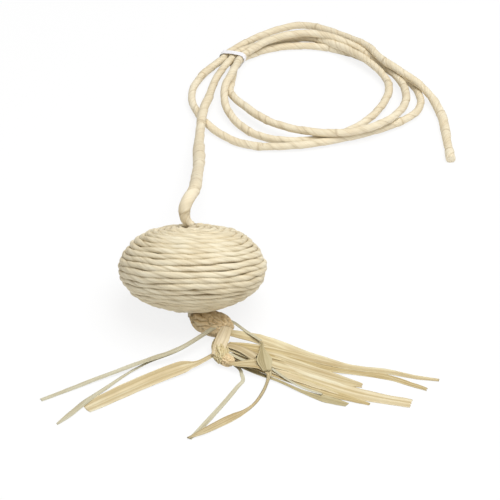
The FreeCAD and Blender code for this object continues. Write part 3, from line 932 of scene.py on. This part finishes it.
def folded_lump(name, centre, size, turn, seed, material):
    """Lump of crumpled husk: long folds with sharp creases, curling round one spot, and shade
    painted into the valleys and nicks of the folds.
    """
    mesh = bmesh.new()
    bmesh.ops.create_uvsphere(mesh, u_segments=128, v_segments=84, radius=1.0)
    layer = mesh.loops.layers.uv.new("UVMap")
    deep = mesh.verts.layers.float.new("crease")
    spin = Matrix.Rotation(math.radians(turn), 3, "Z")
    for face in mesh.faces:
        face.smooth = True
        for loop in face.loops:
            place = loop.vert.co
            loop[layer].uv = (place.x * size[0], math.atan2(place.y, place.z) * size[1] / 2)
    for vert in mesh.verts:
        way = vert.co.normalized()
        bent = way + Vector((0.0, 0.35 * way.x * way.x, 0.0))
        wander = way * 1.6 + Vector((seed, 0, 0))
        bent += 0.35 * Vector([noise.noise(wander + shift) for shift in BEND_SHIFTS])
        long_folds = abs(noise.noise(Vector((bent.x * 1.1, bent.y * 4.2, bent.z * 4.2 + seed))))
        cross_folds = abs(noise.noise(Vector((bent.x * 3.4, bent.y * 2.6 + seed, bent.z * 2.6))))
        valley = math.exp(-(long_folds / VALLEY_WIDE) ** 2)
        nick = math.exp(-(cross_folds / NICK_WIDE) ** 2)
        swell = 1.0 - 0.09 * valley - 0.05 * nick + 0.22 * min(long_folds, 0.4)
        swell += 0.05 * ripple(way, 0.5, seed) - 0.03
        place = Vector((way.x * size[0] / 2, way.y * size[1] / 2, way.z * size[2] / 2)) * swell
        place = spin @ place + Vector(centre)
        place.z = max(place.z, 0.1)
        vert.co = clear_of_ball(place * MM)
        # painted shade in the valleys and nicks of the folds
        vert[deep] = min(1.0, 0.75 * valley + 0.45 * nick)
    lump = finished(name, mesh, material)
    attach(lump, "tassel_and_cord")
    return lump


stopper = folded_lump("stopper_knot", KNOT + Vector((0.3, 0.1, 0.0)), (25.4, 16.8, 11.5), -33,
                      2.0, knot_husk)
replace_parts(stopper, "knot")
butts = folded_lump("gathered_butts", middle_of("leaf_gather"), (22.0, 9.5, 7.4), -86, 5.0,
                    gather_husk)
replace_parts(butts, "leaf_gather")
fold = folded_lump("butt_fold", KNOT + Vector((8.5, -28.5, -2.6)), (9.5, 7.5, 6.0), -40, 9.0,
                   knot_husk)


# ---- paper tie -------------------------------------------------------------------------------

def paper():
    """White paper, faintly mottled."""
    material = bpy.data.materials.new("white_paper")
    material.use_nodes = True
    tree = material.node_tree
    shader = tree.nodes["Principled BSDF"]
    coords = tree.nodes.new("ShaderNodeTexCoord")
    pulp = node(tree, "ShaderNodeTexNoise", Scale=900.0, Detail=4.0, Roughness=0.6)
    link(tree, coords, "Object", pulp, "Vector")
    tone = ramp(tree, [(0.3, (0.80, 0.79, 0.82)), (0.7, (0.88, 0.87, 0.90))])
    link(tree, pulp, "Fac", tone, "Fac")
    link(tree, tone, "Color", shader, "Base Color")
    shader.inputs["Roughness"].default_value = 0.55
    relief = node(tree, "ShaderNodeBump", Strength=0.4, Distance=0.05 * MM)
    link(tree, pulp, "Fac", relief, "Height")
    link(tree, relief, "Normal", shader, "Normal")
    return material


TIE_WIDTH = 4.0
TIE_CLEAR = 0.5
TIE_THICK = 0.00030
TIE_RIDGE = (0.78, 0.14, 0.16)  # where the rib stands and how wide it is, as shares; its height
TIE_LOWEST = 0.25


def tie_band():
    """Flat paper band drawn round the strands, with a wire rib along each edge."""
    reach = CORD_THICK / MM / 2 + TIE_CLEAR
    ahead = Vector((math.cos(STRANDS_ALONG), math.sin(STRANDS_ALONG), 0))
    side = Vector((ahead.y, -ahead.x, 0))
    middles = [Vector((across, height)) for across, height in TIE_SLOTS]
    steps = 96
    rows = 12
    loop = []
    for k in range(steps):
        facing = Vector((math.cos(TAU * k / steps), math.sin(TAU * k / steps)))
        furthest = max(middles, key=lambda spot: spot.dot(facing))
        loop.append((furthest + facing * reach, facing))
    where, wide, tall = TIE_RIDGE
    mesh = bmesh.new()
    bmesh.ops.create_grid(mesh, x_segments=steps, y_segments=rows, size=1.0)
    for vert in mesh.verts:
        k = round((vert.co.x + 1) / 2 * steps) % steps
        side_share = vert.co.y
        spot, facing = loop[k]
        ridge = tall * math.exp(-((abs(side_share) - where) / wide) ** 2)
        spot = spot + facing * (ridge + 0.05 * ripple((k * 0.4, side_share, 0), 1.0, 3.0))
        along = side_share * TIE_WIDTH / 2
        place = Vector((*TIE_MIDDLE, 0)) + side * spot.x + ahead * along
        place.z = max(spot.y, TIE_LOWEST)
        vert.co = place * MM
    bmesh.ops.remove_doubles(mesh, verts=mesh.verts, dist=0.000001)
    bmesh.ops.recalc_face_normals(mesh, faces=mesh.faces)
    for face in mesh.faces:
        face.smooth = True
    band = finished("paper_tie", mesh, paper())
    body = band.modifiers.new("thickness", "SOLIDIFY")
    body.thickness = TIE_THICK
    body.offset = 1.0
    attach(band, "tassel_and_cord")
    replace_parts(band, "coil_tie")


tie_band()


# ---- floor and light ----------------------------------------------------------------------------

FLOOR_HALF = 3.0
FLOOR_GREY = 0.90
BACKDROP_SHARE = 0.84  # how far the floor is drawn towards plain white
WORLD_LIGHT = 0.40
LAMPS = [  # name, place, the point it is turned to, width and power
    ("key", (0.30, -0.1, 1.5), (0.0, 0.1, 0.0), 1.2, 22.0),
    ("fill", (0.6, -1.0, 0.9), (0.0, 0.1, 0.0), 1.0, 2.0),
]


def floor_white():
    """White floor that shows almost no shade to the eye, but lights and shades the rest."""
    material = bpy.data.materials.new("white_floor")
    material.use_nodes = True
    tree = material.node_tree
    shader = tree.nodes["Principled BSDF"]
    shader.inputs["Base Color"].default_value = (FLOOR_GREY, FLOOR_GREY, FLOOR_GREY, 1.0)
    shader.inputs["Roughness"].default_value = 0.9
    shader.inputs["Specular IOR Level"].default_value = 0.0
    path = tree.nodes.new("ShaderNodeLightPath")
    mirrored = node(tree, "ShaderNodeMath", _operation="ADD")
    link(tree, path, "Is Camera Ray", mirrored, 0)
    link(tree, path, "Is Glossy Ray", mirrored, 1)
    seen = node(tree, "ShaderNodeMath", _operation="ADD", _use_clamp=True)
    link(tree, mirrored, 0, seen, 0)
    link(tree, path, "Is Transmission Ray", seen, 1)
    share = node(tree, "ShaderNodeMath", _operation="MULTIPLY")
    link(tree, seen, 0, share, 0)
    share.inputs[1].default_value = BACKDROP_SHARE
    glow = node(tree, "ShaderNodeEmission", Color=(1.0, 1.0, 1.0, 1.0), Strength=1.0)
    both = tree.nodes.new("ShaderNodeMixShader")
    link(tree, share, 0, both, 0)
    link(tree, shader, 0, both, 1)
    link(tree, glow, 0, both, 2)
    link(tree, both, 0, tree.nodes["Material Output"], "Surface")
    return material


def make_floor():
    mesh = bmesh.new()
    bmesh.ops.create_grid(mesh, x_segments=1, y_segments=1, size=FLOOR_HALF)
    floor = finished("floor", mesh, floor_white())


def make_light():
    world = bpy.data.worlds.new("studio")
    world.use_nodes = True
    scene.world = world
    background = world.node_tree.nodes["Background"]
    background.inputs["Color"].default_value = (1.0, 1.0, 1.0, 1.0)
    background.inputs["Strength"].default_value = WORLD_LIGHT
    for name, place, aim, wide, power in LAMPS:
        data = bpy.data.lights.new(name, "AREA")
        data.shape = "SQUARE"
        data.size = wide
        data.energy = power
        lamp = add_object(name, data)
        lamp.location = place
        lamp.rotation_euler = (Vector(aim) - Vector(place)).to_track_quat("-Z", "Y").to_euler()


make_floor()
make_light()
scene.view_settings.view_transform = "Standard"
